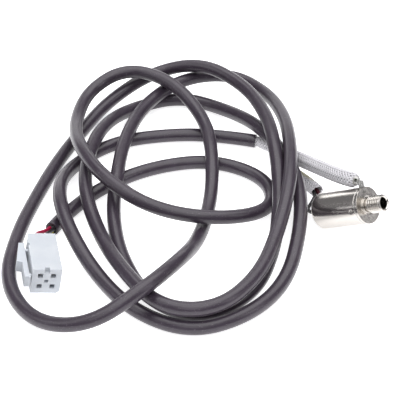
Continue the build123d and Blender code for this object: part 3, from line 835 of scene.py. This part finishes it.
CORE_R = 0.65
LEAD_OFFSET = 0.75
LEADS = {
    "red": (1, -23.6, [
        (-16.7, 2.6, 2.1), (-17.0, 6.6, 2.6), (-18.3, 10.2, 3.4), (-24.3, 13.6, 3.0), (-30.4, 15.7, 2.6),
        (-35.85, 17.0, 2.5),
    ]),
    "black": (-1, -24.2, [
        (-18.2, 1.6, 1.5), (-18.8, 6.2, 2.1), (-19.6, 9.6, 3.1), (-24.9, 12.2, 3.0), (-30.8, 14.3, 2.6),
        (-36.15, 15.6, 2.5),
    ]),
}
BOARD_REAR_U = -11.8
LEAD_STRAIGHT_U = -20.0
INSULATION = {"red": red_pvc, "black": black_pvc, "earth": earth_pvc}


def core(name, node, route, colour):
    """An insulated core along a route."""
    line, marks = even(line_of(route), 0.4 * MM)
    made = piece(
        name, tube(name, line, marks, lambda mark, angle: CORE_R * MM, 16), INSULATION[colour], PROBE,
        (node,),
    )
    return made, line, marks


for colour, (side_sign, turn_u, rest_of_route) in LEADS.items():
    offset = SIDE * LEAD_OFFSET * side_sign
    start = [at(u) + offset for u in (BOARD_REAR_U, LEAD_STRAIGHT_U, turn_u)]
    node = f"signal_lead_{colour}"
    lead, line, marks = core(f"{node}_core", node, start + rest_of_route, colour)
    # The red lead's crimson is darkened as painted shade, for its end in shadow at the sleeve's mouth.
    if colour == "red":
        lead.data.materials[0] = red_pvc_darkened_as_shade

PLUG = Vector((-76.6, -72.9, 0.659863))
PLUG_ALONG = Vector((0.743145, -0.669131, 0))
PLUG_ACROSS = Vector((0.658966, 0.731855, -0.173648))
PLUG_UP = PLUG_ALONG.cross(PLUG_ACROSS)


def in_plug(along, across, up):
    """A point by its place in the plug: along its length, across it and up."""
    return PLUG + PLUG_ALONG * along + PLUG_ACROSS * across + PLUG_UP * up


PITCH = 4.2
LOWER_WAY_UP = 2.7
CORE_SPREAD = 0.85
CORE_EXIT = 2.6
CORE_APPROACH, CORE_END = -3.2, 7.0
CORE_PLACES = {"red": (30, -1, 1), "black": (150, 1, 1), "earth": (270, -1, -1)}
cable_end = Vector(CABLE[-1])
heading = (cable_end - Vector(CABLE[-2])).normalized()
end_side = heading.cross(Vector((0, 0, 1))).normalized()
end_top = end_side.cross(heading)
for colour, (turn, column, row) in CORE_PLACES.items():
    turn = math.radians(turn)
    begin = cable_end + (end_side * math.cos(turn) + end_top * math.sin(turn)) * CORE_SPREAD
    way = (column * PITCH / 2, LOWER_WAY_UP + PITCH / 2 + row * PITCH / 2)
    core_route = [begin, begin + heading * CORE_EXIT, in_plug(CORE_APPROACH, *way), in_plug(CORE_END, *way)]
    core(f"plug_core_{colour}_insulation", f"plug_core_{colour}", core_route, colour)[0]

# ================= the sensor =================

CAN_WALL = 0.6
CAN_FRONT_U = -1.2
FLANGE_T = 0.8
STAKE_U, STAKE_PIN_R = -2.9, 0.58
STAKE_ANGLES = [math.radians(-79 + 120 * k) for k in range(3)]
DIMPLE_R, DIMPLE_DEPTH = 1.0, 0.28


def arc(middle, radius, start, end, steps=8):
    """Points of an arc in an outline, its angles in degrees."""
    angles = [math.radians(start + (end - start) * k / steps) for k in range(steps + 1)]
    return [(middle[0] + radius * math.cos(t), middle[1] + radius * math.sin(t)) for t in angles]


def filled_in(outline, step):
    """An outline with its long sides divided."""
    made = []
    for i, corner in enumerate(outline):
        here, ahead = np.array(corner), np.array(outline[(i + 1) % len(outline)])
        parts = max(1, int(np.linalg.norm(ahead - here) / step))
        made += [tuple(here + (ahead - here) * k / parts) for k in range(parts)]
    return made


def stake_dimple(u, angle):
    """The can's outside radius at a place, pressed in round each stake."""
    depth = 0.0
    for stake in STAKE_ANGLES:
        # Angles here run from the side towards the top, and the stakes' from the top towards the side.
        turn_from_stake = (angle - (math.pi / 2 - stake) + math.pi) % (2 * math.pi) - math.pi
        gap = math.hypot(u - STAKE_U, turn_from_stake * CAN_R) / DIMPLE_R
        depth = max(depth, DIMPLE_DEPTH * (1 - min(1.0, gap) ** 2) ** 2)
    return CAN_R - depth


CAN_OUTLINE = (
    [(CAN_FRONT_U, CAN_R - CAN_WALL), (CAN_FRONT_U, CAN_R - 0.12), (CAN_FRONT_U - 0.12, CAN_R)]
    + arc((REAR_U + CAN_ROUND, CAN_R - CAN_ROUND), CAN_ROUND, 90, 180)
    + [(REAR_U, 2.62), (REAR_U + 0.12, 2.5), (REAR_U + CAN_WALL, 2.5)]
    + arc((REAR_U + CAN_ROUND, CAN_R - CAN_ROUND), CAN_ROUND - CAN_WALL, 180, 90)
)
can = piece(
    "sensor_can_drawn", lathed("sensor_can_drawn", filled_in(CAN_OUTLINE, 0.25), 144, stake_dimple),
    nickel, PROBE, ("sensor_can",),
)
sharp_flats(can, 50)

THREAD_PITCH = 0.75
THREAD_DEPTH = 0.45
THREAD_FROM = 1.0
CREST_SHARE, FLANK_SHARE = 1 / 16, 5 / 16
NECK_R, NECK_L, BORE_R, NOSE_CHAMFER = 2.5, 1.2, 1.95, 0.4


def thread(u, angle):
    """The nose's radius at a place on its right-hand thread."""
    if u < THREAD_FROM:
        return CAN_R
    phase = u / THREAD_PITCH - angle / (2 * math.pi)
    off_crest = abs(phase - round(phase))
    return NOSE_R - THREAD_DEPTH * min(1.0, max(0.0, (off_crest - CREST_SHARE) / FLANK_SHARE))


NOSE_OUTLINE = rounded(
    [
        (-5.5, 4.0), (-5.5, 5.65), (-FLANGE_T, 5.65), (-FLANGE_T, CAN_R), (0, CAN_R), (0, 3.1), (-0.3, 3.1),
        (-0.3, NECK_R), (NECK_L, NECK_R), (NECK_L + NOSE_R - NECK_R, NOSE_R), (NOSE_L - NOSE_CHAMFER, NOSE_R),
        (NOSE_L, NOSE_R - NOSE_CHAMFER), (NOSE_L, BORE_R + NOSE_CHAMFER), (NOSE_L - NOSE_CHAMFER, BORE_R),
        (-2.0, BORE_R), (-2.0, 4.0),
    ],
    0.1,
    3,
)
nose = piece(
    "nose_and_flange_turned", lathed("nose_and_flange_turned", filled_in(NOSE_OUTLINE, 0.0625), 112, thread),
    nickel, PROBE, ("front_cap",),
)
sharp_flats(nose, 50)

# The stakes: punched pins, each a low dome in its dimple.
DOME_RINGS, DOME_SIDES, DOME_RISE = 5, 20, 0.12
stake_points, stake_faces = [], []
for stake in STAKE_ANGLES:
    out = TOP * math.cos(stake) + SIDE * math.sin(stake)
    sideways = AXIS.cross(out)
    foot = FACE + AXIS * STAKE_U
    rows = [(CAN_R - DIMPLE_DEPTH - 0.5, 1.0)] + [
        (CAN_R - DIMPLE_DEPTH + DOME_RISE * math.sin(t), math.cos(t))
        for t in (math.pi / 2 * k / DOME_RINGS for k in range(DOME_RINGS))
    ]
    first = len(stake_points)
    for height, share in rows:
        for k in range(DOME_SIDES):
            t = 2 * math.pi * k / DOME_SIDES
            spoke = AXIS * math.cos(t) + sideways * math.sin(t)
            stake_points.append(foot + out * height + spoke * STAKE_PIN_R * share)
    for i in range(len(rows) - 1):
        for k in range(DOME_SIDES):
            m = (k + 1) % DOME_SIDES
            this_row, next_row = first + i * DOME_SIDES, first + (i + 1) * DOME_SIDES
            stake_faces.append((this_row + k, this_row + m, next_row + m, next_row + k))
    stake_faces.append(tuple(first + k for k in range(DOME_SIDES)))
    stake_faces.append(tuple(first + (len(rows) - 1) * DOME_SIDES + k for k in range(DOME_SIDES)))
piece(
    "stake_pins_peened", outward(mesh_of("stake_pins_peened", stake_points, stake_faces)), peened, PROBE,
    ("stake_pins",),
)

softened("earth_tag", "earth_tag_pressed", tinned, PROBE, 0.07)

# ================= the plug =================

housing = softened("connector_housing", "connector_housing_moulded", nylon, PROBE, 0.22)
latch = softened("latch_lever", "latch_lever_moulded", nylon, LATCH, 0.2)

# ================= the pieces kept as they are =================

for node, material in {
    "window_glass": window,
    "window_seal": rubber,
    "window_retainer": nickel,
    "photocell": cell,
    "cell_holder": phenolic,
    "cell_pins": wire,
    "circuit_board": board,
    "board_components": phenolic,
    "solder_joints": solder,
    "insulating_liner": film,
    "potting": epoxy,
    "rear_grommet": rubber,
    "earth_core": earth_pvc,
    "connector_contacts": contact,
}.items():
    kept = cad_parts[node]
    if not kept.material_slots:
        kept.data.materials.append(material)
    for kept_slot in kept.material_slots:
        kept_slot.material = material
